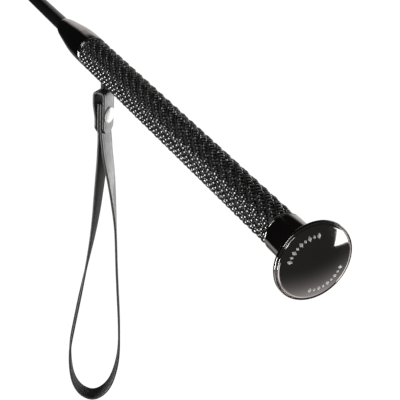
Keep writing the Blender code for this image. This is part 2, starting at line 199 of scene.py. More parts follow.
def smooth_step(value, start, end):
    share = min(max((value - start) / (end - start), 0.0), 1.0)
    return share * share * (3 - 2 * share)


def smooth_route(points, steps):
    """Points along a Catmull-Rom curve through the given points, steps to each stretch."""
    route = []
    for index in range(1, len(points) - 2):
        before, start, end, after = (Vector(p) for p in points[index - 1 : index + 3])
        for step in range(steps):
            t = step / steps
            linear = (end - before) * t
            square = (2 * before - 5 * start + 4 * end - after) * t**2
            cube = (3 * start - before - 3 * end + after) * t**3
            route.append(0.5 * (2 * start + linear + square + cube))
    route.append(Vector(points[-2]))
    return route


FACE_POINTS = 9


def strip_section(width, thickness, edge, crease):
    """Half-turn pairs (across, out) round a leather strip's section: rounded edges and a creased
    line near each edge of both faces."""
    half, depth = width / 2, thickness / 2
    flat = half - edge
    line = half - 1.5 * MM
    face = [
        (-line - 0.25 * MM, 0),
        (-line, crease),
        (-line + 0.25 * MM, 0),
        (-line * 0.5, 0),
        (0, 0),
        (line * 0.5, 0),
        (line - 0.25 * MM, 0),
        (line, crease),
        (line + 0.25 * MM, 0),
    ]
    arc = []
    for step in range(7):
        angle = math.pi * step / 6
        arc.append((flat + edge * math.sin(angle), depth * math.cos(angle)))
    section = [(x, depth - dip) for x, dip in face]
    section += arc
    section += [(-x, dip - depth) for x, dip in face]
    section += [(-x, -y) for x, y in arc]
    return section


def strip(name, stations, finishes, thickness, flesh_side, edge=0.5 * MM, crease=0.07 * MM):
    """A leather strip swept along stations: middle, direction across, width. Its finishes are for
    the grain side, the rough flesh side and the edges."""
    shape = bmesh.new()
    rings = []
    last = len(stations) - 1
    for index, (middle, across, width) in enumerate(stations):
        ahead = stations[min(index + 1, last)][0] - stations[max(index - 1, 0)][0]
        out = ahead.cross(across).normalized()
        section = strip_section(width, thickness, edge, crease)
        rings.append([shape.verts.new(middle + across * x + out * y) for x, y in section])
    count = len(rings[0])
    half = count // 2
    for low, high in zip(rings, rings[1:]):
        for step in range(count):
            after = (step + 1) % count
            face = shape.faces.new((low[step], low[after], high[after], high[step]))
            if after % half > FACE_POINTS:
                face.material_index = 2
            elif (after < half) == (flesh_side > 0):
                face.material_index = 1
    for ring in (rings[0], rings[-1]):
        shape.faces.new(ring).material_index = 2
    obj = to_object(shape, name, None, 50.0)
    for finish in finishes:
        obj.data.materials.append(finish)
    return obj


# ---------------------------------------------------------------- materials


class Nodes:
    """A material's node tree with short calls for the nodes that the finishes share."""

    def __init__(self, name, colour, roughness, metallic=0.0, **sockets):
        self.material = bpy.data.materials.new(name)
        self.material.use_nodes = True
        self.tree = self.material.node_tree
        self.shader = self.tree.nodes["Principled BSDF"]
        self.set("Base Color", (*colour, 1.0))
        self.set("Roughness", roughness)
        self.set("Metallic", metallic)
        for socket, value in sockets.items():
            self.set(socket.replace("_", " "), value)
        coordinates = self.tree.nodes.new("ShaderNodeTexCoord")
        self.place = coordinates.outputs["Object"]

    def set(self, socket, value):
        self.shader.inputs[socket].default_value = value

    def link(self, source, target):
        self.tree.links.new(source, target)

    def stretched(self, scale):
        """Object coordinates stretched by scale."""
        mapping = self.tree.nodes.new("ShaderNodeMapping")
        mapping.inputs["Scale"].default_value = scale
        self.link(self.place, mapping.inputs["Vector"])
        return mapping.outputs["Vector"]

    def noise(self, scale, detail=4.0, vector=None):
        node = self.tree.nodes.new("ShaderNodeTexNoise")
        node.inputs["Scale"].default_value = scale
        node.inputs["Detail"].default_value = detail
        node.inputs["Roughness"].default_value = 0.55
        self.link(vector or self.place, node.inputs["Vector"])
        return node.outputs["Fac"]

    def cells(self, scale):
        node = self.tree.nodes.new("ShaderNodeTexVoronoi")
        node.feature = "DISTANCE_TO_EDGE"
        node.inputs["Scale"].default_value = scale
        self.link(self.place, node.inputs["Vector"])
        return node.outputs["Distance"]

    def waves(self, scale, direction, distortion):
        node = self.tree.nodes.new("ShaderNodeTexWave")
        node.bands_direction = direction
        node.inputs["Scale"].default_value = scale
        node.inputs["Distortion"].default_value = distortion
        node.inputs["Detail"].default_value = 0.0
        self.link(self.place, node.inputs["Vector"])
        return node.outputs["Fac"]

    def ramp(self, value, stops):
        """Stops are (position, value or colour) pairs."""
        node = self.tree.nodes.new("ShaderNodeValToRGB")
        elements = node.color_ramp.elements
        while len(elements) < len(stops):
            elements.new(0.5)
        for element, (position, colour) in zip(elements, stops):
            element.position = position
            if not isinstance(colour, tuple):
                colour = (colour, colour, colour)
            element.color = (*colour, 1.0)
        self.link(value, node.inputs["Fac"])
        return node.outputs["Color"]

    def vary(self, socket, value, stops):
        """Drives a socket of the shader by a value, along a ramp."""
        self.link(self.ramp(value, stops), self.shader.inputs[socket])

    def mottle(self, value, *stops):
        """Varies the colour."""
        self.vary("Base Color", value, stops)

    def wear(self, value, *stops):
        """Varies the roughness."""
        self.vary("Roughness", value, stops)

    def bump(self, height, distance, strength=1.0):
        """Adds relief. A later call stacks on the one before."""
        node = self.tree.nodes.new("ShaderNodeBump")
        node.inputs["Strength"].default_value = strength
        node.inputs["Distance"].default_value = distance
        self.link(height, node.inputs["Height"])
        earlier = self.shader.inputs["Normal"].links
        if earlier:
            self.link(earlier[0].from_socket, node.inputs["Normal"])
        self.link(node.outputs["Normal"], self.shader.inputs["Normal"])


def black_nickel():
    """Polished black nickel: a dark warm mirror with hairline polish marks and a few smears."""
    m = Nodes("black_nickel", (0.33, 0.31, 0.305), 0.07, 1.0)
    smears = m.noise(55.0, 5.0)
    m.wear(smears, (0.35, 0.05), (0.75, 0.13))
    m.mottle(m.noise(18.0), (0.3, (0.30, 0.28, 0.275)), (0.7, (0.36, 0.34, 0.335)))
    hairlines = m.noise(900.0, 2.0, vector=m.stretched((0.15, 1.0, 1.0)))
    m.bump(hairlines, 0.000004, 0.25)
    return m.material


def silver_inlay():
    m = Nodes("silver_inlay", (0.86, 0.85, 0.84), 0.4, 0.4)
    m.wear(m.noise(400.0), (0.3, 0.34), (0.7, 0.5))
    m.bump(m.noise(1500.0, 2.0), 0.000008, 0.3)
    return m.material


def white_metal():
    m = Nodes("white_metal", (0.95, 0.945, 0.94), 0.35, 0.2)
    m.wear(m.noise(260.0), (0.3, 0.3), (0.75, 0.45))
    m.bump(m.noise(800.0, 3.0), 0.000006, 0.3)
    return m.material


def jet_stone():
    """Black cut glass with a metallic back coat that shows as a faint grey depth."""
    m = Nodes("jet_stone", (0.012, 0.012, 0.013), 0.05, 0.0, IOR=1.75, Specular_IOR_Level=0.6)
    m.mottle(m.noise(300.0, 2.0), (0.35, (0.008, 0.008, 0.009)), (0.7, (0.022, 0.021, 0.021)))
    return m.material


def stone_setting():
    m = Nodes("stone_setting", (0.05, 0.048, 0.046), 0.45, 1.0)
    m.wear(m.noise(900.0), (0.3, 0.35), (0.7, 0.55))
    return m.material


def ribbon_cloth():
    """The woven black band under the stones."""
    m = Nodes("ribbon_cloth", (0.012, 0.012, 0.012), 0.6, 0.0, Sheen_Weight=0.25, Sheen_Roughness=0.4)
    weave = m.waves(1400.0, "X", 1.0)
    m.bump(weave, 0.00006, 0.8)
    m.mottle(m.noise(500.0), (0.3, (0.006, 0.006, 0.006)), (0.7, (0.02, 0.02, 0.02)))
    return m.material


def lacquer():
    """Black lacquer over a tight winding of thread, which shows as faint ripples."""
    m = Nodes("lacquer", (0.006, 0.006, 0.007), 0.24, 0.0, IOR=1.4)
    m.wear(m.noise(90.0), (0.3, 0.2), (0.75, 0.28))
    m.bump(m.waves(520.0, "X", 0.4), 0.000006, 0.35)
    m.bump(m.noise(220.0, 3.0), 0.00002, 0.2)
    return m.material


def leather():
    """Smooth black bridle leather: fine pores, soft creases and a waxed polish."""
    dark = (0.010, 0.0098, 0.0095)
    worn = (0.026, 0.024, 0.023)
    m = Nodes("leather", dark, 0.34, 0.0, Coat_Weight=0.35, Coat_Roughness=0.22, IOR=1.5)
    m.mottle(m.noise(120.0, 5.0), (0.35, dark), (0.75, worn))
    m.wear(m.noise(260.0, 4.0), (0.3, 0.27), (0.75, 0.46))
    m.bump(m.cells(2100.0), 0.00004, 0.35)
    m.bump(m.noise(700.0, 4.0), 0.00005, 0.3)
    m.bump(m.noise(90.0, 3.0), 0.00012, 0.2)
    return m.material


def flesh_side():
    """The rough inner side of the leather: matt, fibrous and nearly black."""
    m = Nodes("flesh_side", (0.012, 0.0115, 0.011), 0.85, 0.0, Sheen_Weight=0.08, Sheen_Roughness=0.5)
    m.mottle(m.noise(420.0, 5.0), (0.3, (0.008, 0.0075, 0.007)), (0.7, (0.022, 0.021, 0.02)))
    m.bump(m.noise(1100.0, 3.0), 0.00004, 0.3)
    return m.material


def inked_edge():
    """The leather's cut edge, rubbed smooth and inked."""
    m = Nodes("inked_edge", (0.02, 0.019, 0.018), 0.42)
    m.mottle(m.noise(300.0, 4.0), (0.3, (0.022, 0.0215, 0.021)), (0.7, (0.04, 0.039, 0.038)))
    m.bump(m.noise(900.0, 2.0), 0.00003, 0.25)
    return m.material


def thread():
    m = Nodes("thread", (0.014, 0.014, 0.014), 0.5, 0.0, Sheen_Weight=0.3, Sheen_Roughness=0.35)
    m.mottle(m.noise(2500.0, 2.0), (0.3, (0.008, 0.008, 0.008)), (0.7, (0.028, 0.027, 0.026)))
    m.bump(m.waves(1700.0, "DIAGONAL", 0.5), 0.00005, 0.6)
    return m.material


def turned_metal(name, colour, rough):
    """Plain turned metal, with fine rings from the lathe."""
    m = Nodes(name, colour, rough, 1.0)
    m.wear(m.noise(300.0), (0.3, rough * 0.8), (0.75, rough * 1.5))
    m.bump(m.waves(900.0, "X", 0.6), 0.00002, 0.4)
    return m.material


def moulded_plastic():
    m = Nodes("moulded_plastic", (0.02, 0.02, 0.02), 0.5)
    m.wear(m.noise(220.0), (0.3, 0.42), (0.75, 0.6))
    m.bump(m.noise(900.0, 3.0), 0.00003, 0.4)
    return m.material


def glass_fibre():
    m = Nodes("glass_fibre", (0.62, 0.6, 0.48), 0.4)
    strands = m.noise(600.0, 3.0, vector=m.stretched((0.02, 1.0, 1.0)))
    m.mottle(strands, (0.3, (0.45, 0.43, 0.32)), (0.7, (0.72, 0.7, 0.58)))
    m.bump(strands, 0.00004, 0.4)
    return m.material


NICKEL = black_nickel()
SILVER = silver_inlay()
WHITE_METAL = white_metal()
STONE = jet_stone()
SETTING = stone_setting()
CLOTH = ribbon_cloth()
LACQUER = lacquer()
LEATHER = leather()
FLESH = flesh_side()
EDGE = inked_edge()
THREAD = thread()
STEEL = turned_metal("turned_steel", (0.6, 0.6, 0.59), 0.25)
BRASS = turned_metal("turned_brass", (0.72, 0.55, 0.28), 0.3)
DARK_STEEL = turned_metal("blacked_steel", (0.05, 0.05, 0.052), 0.5)
PLASTIC = moulded_plastic()
FIBRE = glass_fibre()

CAD_FINISHES = {
    "knob_stud": STEEL,
    "stud_insert": BRASS,
    "grip_core": PLASTIC,
    "ferrule_bush": PLASTIC,
    "shaft_rod": FIBRE,
    "rod_tip_cap": PLASTIC,
    "strap_boss": DARK_STEEL,
    "strap_screw": STEEL,
    "screw_washer": STEEL,
}


def finish_cad_nodes():
    """Gives the CAD nodes that stay as they are their finishes."""
    for node, material in CAD_FINISHES.items():
        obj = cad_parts[node]
        if not obj.material_slots:
            continue
        obj.material_slots[0].link = "OBJECT"
        obj.material_slots[0].material = material


finish_cad_nodes()

# ---------------------------------------------------------------- knob

KNOB_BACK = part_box("knob_cap")[1].x
KNOB_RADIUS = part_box("knob_cap")[1].z
FACE_EDGE = KNOB_BACK - 2.8 * MM
FACE_RADIUS = 18.4 * MM
FACE_RISE = 2.4 * MM
FACE_SPHERE = (FACE_RADIUS**2 + FACE_RISE**2) / (2 * FACE_RISE)


def face_drop(radius):
    """How far the knob's face stands out past its edge, at a radius."""
    return math.sqrt(FACE_SPHERE**2 - radius**2) - (FACE_SPHERE - FACE_RISE)


def make_knob():
    """The mushroom knob: a flat back, a rim with a fine groove, and a low domed face."""
    outline = [
        (KNOB_BACK - 0.3 * MM, 0.0),
        (KNOB_BACK - 0.3 * MM, 11.2 * MM),
        (KNOB_BACK, 11.2 * MM),
        (KNOB_BACK, KNOB_RADIUS - 0.5 * MM),
        (KNOB_BACK - 0.6 * MM, KNOB_RADIUS),
        (KNOB_BACK - 1.95 * MM, KNOB_RADIUS),
        (KNOB_BACK - 2.2 * MM, KNOB_RADIUS - 0.25 * MM),
        (KNOB_BACK - 2.2 * MM, KNOB_RADIUS - 0.85 * MM),
        (KNOB_BACK - 2.05 * MM, KNOB_RADIUS - 0.95 * MM),
        (KNOB_BACK - 2.05 * MM, KNOB_RADIUS - 1.15 * MM),
        (KNOB_BACK - 2.5 * MM, KNOB_RADIUS - 1.25 * MM),
        (FACE_EDGE, FACE_RADIUS),
    ]
    profile = rounded(outline, 0.18 * MM, 4)
    rings = 22
    for ring in range(1, rings + 1):
        radius = FACE_RADIUS * (1 - ring / rings)
        profile.append((FACE_EDGE - face_drop(radius), max(radius, 0.0)))
    place(turned("knob", profile, NICKEL, steps=160, sharp=40.0), "handle", "black_nickel", "knob_cap")


def make_ornament():
    """Two arcs of small inlaid lozenges on the knob's face."""
    shape = bmesh.new()
    radius = 14.0 * MM
    long_half, short_half = 1.4 * MM, 1.0 * MM
    for centre in (math.radians(129), math.radians(-58)):
        for index in range(-4, 5):
            angle = centre + index * math.radians(9.6)
            size = 1.0 if index % 2 == 0 else 0.7
            radial = Vector((0, -math.cos(angle), math.sin(angle)))
            along = X_AXIS.cross(radial)
            corners = []
            for a, b in ((1, 0), (0, 1), (-1, 0), (0, -1)):
                point = radial * (radius + a * long_half * size) + along * (b * short_half * size)
                distance = point.length
                corners.append(point + X_AXIS * (FACE_EDGE - face_drop(distance)))
            base = [shape.verts.new(p + X_AXIS * (0.1 * MM)) for p in corners]
            lift = [shape.verts.new(p - X_AXIS * (0.05 * MM)) for p in corners]
            middle = radial * radius
            peak = shape.verts.new(middle + X_AXIS * (FACE_EDGE - face_drop(radius) - 0.2 * MM))
            shape.faces.new(base)
            for step in range(4):
                after = (step + 1) % 4
                shape.faces.new((base[step], base[after], lift[after], lift[step]))
                shape.faces.new((lift[step], lift[after], peak))
    place(to_object(shape, "knob_lozenges", SILVER, 10.0), "handle", "white_metal")


# ---------------------------------------------------------------- collar, ferrule and shaft


def make_collar():
    """The collar: a cup with a fine groove near its mouth."""
    start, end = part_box("neck_collar")[0].x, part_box("neck_collar")[1].x
    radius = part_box("neck_collar")[1].z
    outline = [
        (start, 4.0 * MM),
        (start, radius - 0.45 * MM),
        (start + 0.45 * MM, radius),
        (end - 1.5 * MM, radius),
        (end - 1.35 * MM, radius - 0.18 * MM),
        (end - 1.15 * MM, radius - 0.18 * MM),
        (end - 1.0 * MM, radius),
        (end - 0.3 * MM, radius - 0.05 * MM),
        (end, radius - 0.4 * MM),
        (end, 8.3 * MM),
        (start + 1.7 * MM, 8.3 * MM),
        (start + 1.7 * MM, 4.0 * MM),
        (start, 4.0 * MM),
    ]
    profile = rounded(outline, 0.16 * MM, 3)[:-1]
    collar = turned("collar", profile, NICKEL, closed=True)
    place(collar, "handle", "black_nickel", "neck_collar")


def make_ferrule():
    """The ferrule: a hollow cone with a groove near the grip and a rolled mouth on the shaft."""
    start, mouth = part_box("ferrule")[0].x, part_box("ferrule")[1].x
    outline = [
        (start, 8.4 * MM),
        (start, 9.45 * MM),
        (start + 0.4 * MM, 9.85 * MM),
        (start + 1.3 * MM, 9.85 * MM),
        (start + 1.45 * MM, 9.65 * MM),
        (start + 1.65 * MM, 9.65 * MM),
        (start + 1.8 * MM, 9.88 * MM),
        (mouth - 40.5 * MM, 9.85 * MM),
        (mouth - 34.5 * MM, 9.75 * MM),
        (mouth - 29.5 * MM, 9.5 * MM),
        (mouth - 24.5 * MM, 9.05 * MM),
        (mouth - 19.5 * MM, 8.45 * MM),
        (mouth - 14.5 * MM, 7.8 * MM),
        (mouth - 9.5 * MM, 7.2 * MM),
        (mouth - 5.3 * MM, 6.6 * MM),
        (mouth - 2.2 * MM, 6.05 * MM),
        (mouth - 0.4 * MM, 5.5 * MM),
        (mouth, 5.2 * MM),
        (mouth, 4.9 * MM),
        (mouth - 4.0 * MM, 4.9 * MM),
        (start + 21.0 * MM, 8.4 * MM),
        (start, 8.4 * MM),
    ]
    profile = rounded(outline, 0.8 * MM, 3)[:-1]
    shell = turned("ferrule_shell", profile, NICKEL, closed=True)
    place(shell, "handle", "black_nickel", "ferrule")


def make_shaft():
    """The shaft's lacquered cover: straight out of the ferrule, then a long even taper."""
    low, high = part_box("shaft_cover")
    radius, tip, wall = high.z, 2.7 * MM, 0.7 * MM
    taper = 175.0 * MM
    outer = []
    pieces = 60
    for index in range(pieces + 1):
        x = low.x + (high.x - low.x) * index / pieces
        share = max((x - taper) / (high.x - taper), 0.0)
        outer.append((x, radius + (tip - radius) * share))
    inner = [(x, r - wall) for x, r in reversed(outer)]
    cover = turned("shaft_lacquer", outer + inner, LACQUER, steps=64, closed=True)
    place(cover, "handle", "lacquer", "shaft_cover")


# ---------------------------------------------------------------- grip

GRIP_START, GRIP_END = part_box("stone_wrap")[0].x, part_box("stone_wrap")[1].x
RIBBON_PITCH = 9.3 * MM
ROWS = 3
SET_RADIUS = 8.75 * MM
RIBBON_BORE = 8.15 * MM
SINK = 0.12 * MM
STONE_TURN = 2 * math.pi * 9.3 * MM
STONE_RADIUS = 1.62 * MM
ROW_LEAN = 1.5 * MM
STONES_IN_TURN = 15
STONE_PITCH = (STONE_TURN + ROWS * ROW_LEAN) / STONES_IN_TURN
BULGE = 0.42 * MM


def ribbon_share(x, turn):
    """Where a place lies across the ribbon, from 0 at one edge to 1 at the other."""
    return (((x - GRIP_START) / RIBBON_PITCH) + turn / (2 * math.pi)) % 1.0


def ribbon_lift(share):
    """The ribbon's crown: it stands highest in its middle and dips at its edges."""
    return BULGE * (math.sin(math.pi * share) ** 0.6)


def around(x, turn, radius):
    """A point round the grip. Turn grows from +Y towards +Z."""
    return Vector((x, math.cos(turn) * radius, math.sin(turn) * radius))


def make_ribbon():
    """The band under the stones, wound edge to edge round the core."""
    shape = bmesh.new()
    along, steps = 420, 48
    rings = []
    for index in range(along + 1):
        x = GRIP_START + (GRIP_END - GRIP_START) * index / along
        ring = []
        for turn in circle(steps):
            radius = SET_RADIUS - SINK + ribbon_lift(ribbon_share(x, turn))
            ring.append(shape.verts.new(around(x, turn, radius)))
        rings.append(ring)
    for x in (GRIP_END, GRIP_START):
        rings.append([shape.verts.new(around(x, turn, RIBBON_BORE)) for turn in circle(steps)])
    for low, high in zip(rings, rings[1:] + rings[:1]):
        walls(shape, low, high)
    place(to_object(shape, "ribbon_band", CLOTH, 60.0), "handle", "stones", "stone_wrap")


def stone_spots():
    """Where the stones sit: (x, turn, share across the ribbon)."""
    spots = []
    inset, reach = 1.75 * MM, 1.2 * MM
    low, high = GRIP_START + inset, GRIP_END - inset
    turns = int((GRIP_END - GRIP_START) / RIBBON_PITCH) + 3
    count = int(turns * STONE_TURN / STONE_PITCH) + 3
    for row in range(ROWS):
        share = (row + 0.5) / ROWS
        for index in range(-STONES_IN_TURN - 2, count):
            arc = index * STONE_PITCH + row * ROW_LEAN
            x = GRIP_START + RIBBON_PITCH * (share - arc / STONE_TURN) + RIBBON_PITCH * (turns - 1)
            turn = arc / STONE_TURN * 2 * math.pi
            if low - reach <= x <= high + reach:
                spots.append((min(max(x, low), high), turn, share))
    return spots


def cut_stone(shape, centre, side, along, out):
    """One stone: a metal cup, a crown of two rows of facets, and a table."""
    rings = []
    for share, height in ((1.02, -0.22), (1.02, 0.2), (0.97, 0.26), (0.85, 0.5), (0.45, 0.83)):
        ring = []
        for angle in circle(8, 0.5):
            flat = side * math.cos(angle) + along * math.sin(angle)
            ring.append(shape.verts.new(centre + flat * (share * STONE_RADIUS) + out * (height * MM)))
        rings.append(ring)
    cup = [shape.faces.new(list(reversed(rings[0])))]
    cup += walls(shape, rings[0], rings[1]) + walls(shape, rings[1], rings[2])
    for face in cup:
        face.material_index = 1
    walls(shape, rings[2], rings[3])
    walls(shape, rings[3], rings[4])
    shape.faces.new(rings[4])


def stone_axes(turn, tilt):
    """Along the crop, round it and out of it, at a place round the grip, with a small tilt."""
    out = Vector((0, math.cos(turn), math.sin(turn)))
    side = X_AXIS.copy()
    along = out.cross(side)
    out = (out + side * random.gauss(0, tilt) + along * random.gauss(0, tilt)).normalized()
    side = (side - out * side.dot(out)).normalized()
    return side, out.cross(side), out


def make_stones():
    """The stones, each a little tilted and turned in its cup."""
    shape = bmesh.new()
    for x, turn, share in stone_spots():
        side, along, out = stone_axes(turn, 0.018)
        spin = random.uniform(-0.06, 0.06)
        side, along = (
            side * math.cos(spin) + along * math.sin(spin),
            along * math.cos(spin) - side * math.sin(spin),
        )
        centre = around(x, turn, SET_RADIUS + ribbon_lift(share) - SINK)
        cut_stone(shape, centre, side, along, out)
    obj = to_object(shape, "grip_stones", STONE, 48.0)
    obj.data.materials.append(SETTING)
    place(obj, "handle", "stones")


def make_beads():
    """Small beads that fill the gaps between the stones."""
    shape = bmesh.new()
    for x, turn, share in stone_spots():
        for dx, dc in ((1.0 * MM, 2.1 * MM), (2.1 * MM, -0.5 * MM)):
            bead_x = x + dx
            bead_turn = turn + dc / STONE_TURN * 2 * math.pi
            if bead_x > GRIP_END - 0.6 * MM:
                continue
            side, along, out = stone_axes(bead_turn, 0.03)
            lift = ribbon_lift(ribbon_share(bead_x, bead_turn))
            centre = around(bead_x, bead_turn, SET_RADIUS + lift - 0.15 * MM)
            low, high = [], []
            for angle in circle(5, 0.5):
                flat = side * math.cos(angle) + along * math.sin(angle)
                low.append(shape.verts.new(centre + flat * (0.5 * MM)))
                high.append(shape.verts.new(centre + flat * (0.34 * MM) + out * (0.4 * MM)))
            peak = shape.verts.new(centre + out * (0.55 * MM))
            shape.faces.new(list(reversed(low)))
            walls(shape, low, high)
            for first, second in zip(high, high[1:] + high[:1]):
                shape.faces.new((first, second, peak))
    place(to_object(shape, "grip_beads", STONE, 1.0), "handle", "stones")


# ---------------------------------------------------------------- wrist strap

SCREW_X = 100.7 * MM
TAB_YAW = math.radians(-53.8)
LOOP_YAW = math.radians(-22.8)
NEAR_TWIST = (-175 * MM, -60 * MM)
FAR_TWIST = (-120 * MM, -45 * MM)
RIVET_Z = -32.6 * MM
TAB_OFFSET = 3.55 * MM
TAB_THICKNESS = 1.5 * MM
TAB_CORNER = 2.3 * MM
DRAWN_OFFSET = 1.85 * MM
DRAW_BOTTOM, DRAW_TOP = -36.5 * MM, -23.5 * MM
STRAP_WIDTH = 12.0 * MM
STRAP_THICKNESS = 1.5 * MM
RIVET_RADIUS = 5.25 * MM
RIVET_REAR = 3.75 * MM
# Offset across the strap's plane and height, in millimetres, down the near leg and up the far one.
STRAP_ROUTE = [
    (-0.05, -20), (-0.05, -24.5), (-0.05, -33), (0.1, -40),
    (0.5, -45), (0.55, -52), (0.2, -64), (-0.7, -77), (-1.8, -91), (-3.0, -105.5), (-4.7, -120.5),
    (-6.8, -135), (-9.4, -151), (-14.8, -184), (-17.9, -208), (-16.4, -229), (-11.0, -241.5),
    (-2.4, -246.5), (5.6, -242.5), (11.4, -232), (14.9, -213), (14.7, -188), (12.6, -156),
    (11.6, -140.5), (10.75, -125), (9.85, -110), (8.5, -95), (7.0, -80), (5.3, -67.5), (3.9, -59),
    (3.1, -52), (2.2, -45), (1.85, -40), (1.75, -33), (1.75, -24.5), (1.75, -20),
]


def strap_yaw(z, twist):
    """Which way the strap's width points: it twists from the tab's yaw to the loop's."""
    return LOOP_YAW + (TAB_YAW - LOOP_YAW) * smooth_step(z, *twist)


def strap_station(offset, z, width=STRAP_WIDTH, twist=FAR_TWIST):
    """One station of a strip: its middle, the direction across it and its width."""
    yaw = strap_yaw(z, twist)
    across = Vector((math.cos(yaw), math.sin(yaw), 0))
    outward = Vector((math.sin(yaw), -math.cos(yaw), 0))
    return Vector((SCREW_X, 0, z)) + outward * offset, across, width


def make_strap():
    """The strap: one strip from its riveted end down round the loop and back up."""
    route = smooth_route([Vector((offset * MM, z * MM, 0)) for offset, z in STRAP_ROUTE], 8)
    lowest = min(route, key=lambda p: p.y)
    turn = route.index(lowest)
    stations = [strap_station(p.x, p.y, twist=NEAR_TWIST) for p in route[:turn]]
    stations += [strap_station(p.x, p.y) for p in route[turn:]]
    obj = strip("wrist_strap", stations, [LEATHER, FLESH, EDGE], STRAP_THICKNESS, flesh_side=1)
    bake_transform(obj)
    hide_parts("strap_tail_front", "strap_tail_back", "wrist_loop")


def near_leg_offset(z):
    """How far out the tab's near leg stands: it is drawn in against the strap's ends."""
    return DRAWN_OFFSET + (TAB_OFFSET - DRAWN_OFFSET) * smooth_step(z, DRAW_BOTTOM, DRAW_TOP)


def make_tab():
    """The tab: a short strip folded over the screw, with both its tips clipped narrow."""
    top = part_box("strap_tab")[1].z
    corner_z = top - TAB_THICKNESS / 2 - TAB_CORNER
    legs = [(-44.5, 6.0), (-44.1, 7.0), (-43.0, 8.9), (-41.8, 10.7), (-40.8, 11.8), (-39.8, 12.0)]
    legs += [(z, 12.0) for z in (-38.5, -37, -35, -33.5, -32, -30.5, -29, -27.5, -26, -24.5, -23)]
    near = [strap_station(-near_leg_offset(z * MM), z * MM, width * MM) for z, width in legs]
    far = [strap_station(TAB_OFFSET, z * MM, width * MM) for z, width in reversed(legs)]
    bend = 9
    for step in range(bend + 1):
        angle = math.pi / 2 * step / bend
        offset = TAB_OFFSET - TAB_CORNER * (1 - math.cos(angle))
        z = corner_z + TAB_CORNER * math.sin(angle)
        near.append(strap_station(-offset, z))
        far.insert(0, strap_station(offset, z))
    obj = strip("tab_leather", near + far, [LEATHER, FLESH, EDGE], TAB_THICKNESS, flesh_side=-1)
    place(obj, "strap_tab", "leather", "strap_tab")


def make_rivet():
    """The rivet: a domed cap on the tab's outer face, its shank, and a small head behind."""
    outward = Vector((math.sin(TAB_YAW), -math.cos(TAB_YAW), 0))
    origin = (SCREW_X, 0, RIVET_Z)
    face = TAB_OFFSET + TAB_THICKNESS / 2
    rim = 0.25 * MM
    cap = [(face, 0.0), (face, RIVET_RADIUS - rim), (face + rim, RIVET_RADIUS)]
    rings = 14
    for ring in range(1, rings + 1):
        angle = math.pi / 2 * ring / rings
        cap.append((face + rim + 1.3 * MM * math.sin(angle), RIVET_RADIUS * math.cos(angle)))
    cap[-1] = (cap[-1][0], 0.0)
    dome = turned("rivet_dome", cap, WHITE_METAL, origin, outward, 64)
    place(dome, "strap_tab", "white_metal", "rivet_cap")
    head = [
        (face - 0.2 * MM, 0.0),
        (face - 0.2 * MM, 1.5 * MM),
        (-RIVET_REAR, 1.5 * MM),
        (-RIVET_REAR, 3.8 * MM),
        (-RIVET_REAR - 0.35 * MM, 3.8 * MM),
        (-RIVET_REAR - 0.8 * MM, 2.8 * MM),
        (-RIVET_REAR - 0.95 * MM, 1.7 * MM),
        (-RIVET_REAR - 0.75 * MM, 0.9 * MM),
        (-RIVET_REAR - 0.7 * MM, 0.0),
    ]
    shank = turned("rivet_shank", rounded(head, 0.3 * MM), WHITE_METAL, origin, outward, 48)
    place(shank, "strap_tab", "white_metal", "rivet_post")


# ---------------------------------------------------------------- tongue

ROOT_RADIUS = 4.7 * MM
FLAP_DEPTH = 1.95 * MM


def tongue_half_width(x):
    """Half the flap's width: it widens from its root and ends in two rounded corners."""
    start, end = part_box("tongue_layer_left")[0].x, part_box("tongue_layer_left")[1].x
    root, full, corner = 5.5 * MM, 12.0 * MM, 8.0 * MM
    width = root + (full - root) * smooth_step(x, start, end - 14 * MM)
    into = min(max(x - (end - corner), 0.0), corner)
    return width - (corner - math.sqrt(max(corner**2 - into**2, 0.0)))


def make_tongue():
    """The leather tongue, from the root bound on the shaft to its two-layer flap, in one piece."""
    root_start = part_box("tongue_root")[0].x
    flap_start, flap_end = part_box("tongue_layer_left")[0].x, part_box("tongue_layer_left")[1].x
    shape = bmesh.new()
    steps, pieces = 40, 90
    rings = []
    for index in range(pieces + 1):
        x = root_start + (flap_end - root_start) * math.sin(math.pi / 2 * index / pieces)
        blend = smooth_step(x, root_start + 18 * MM, flap_start + 7 * MM)
        tall = ROOT_RADIUS * (1 - blend) + tongue_half_width(max(x, flap_start)) * blend
        thick = ROOT_RADIUS * (1 - blend) + FLAP_DEPTH * blend
        power = 1.0 - 0.72 * blend
        ring = []
        for step, angle in enumerate(circle(steps)):
            c, s = math.cos(angle), math.sin(angle)
            y = math.copysign(abs(c) ** power, c) * thick
            z = math.copysign(abs(s) ** power, s) * tall
            if step in (steps // 4, 3 * steps // 4):
                z -= math.copysign(0.5 * MM * blend, s)
            ring.append(shape.verts.new((x, y, z)))
        rings.append(ring)
    skin(shape, rings)
    obj = to_object(shape, "tongue_leather", LEATHER, 45.0)
    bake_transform(obj)
    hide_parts("tongue_root", "tongue_layer_left", "tongue_layer_right")


def make_whipping():
    """Waxed thread wound close round the tongue's root."""
    low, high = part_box("tongue_whipping")
    shape = bmesh.new()
    gauge = 0.42 * MM
    pitch = 0.86 * MM
    turns = int((high.x - low.x - 2 * gauge) / pitch)
    steps = 36
    rings = []
    for index in range(turns * steps + 1):
        turn = 2 * math.pi * index / steps
        out = Vector((0, math.cos(turn), math.sin(turn)))
        x = low.x + gauge + pitch * index / steps
        centre = Vector((x, 0, 0)) + out * (ROOT_RADIUS + gauge + 0.1 * MM)
        ring = []
        for angle in circle(6):
            offset = out * (gauge * math.cos(angle)) + X_AXIS * (gauge * math.sin(angle))
            ring.append(shape.verts.new(centre + offset))
        rings.append(ring)
    skin(shape, rings)
    place(to_object(shape, "tongue_thread", THREAD, 80.0), "handle", "thread", "tongue_whipping")


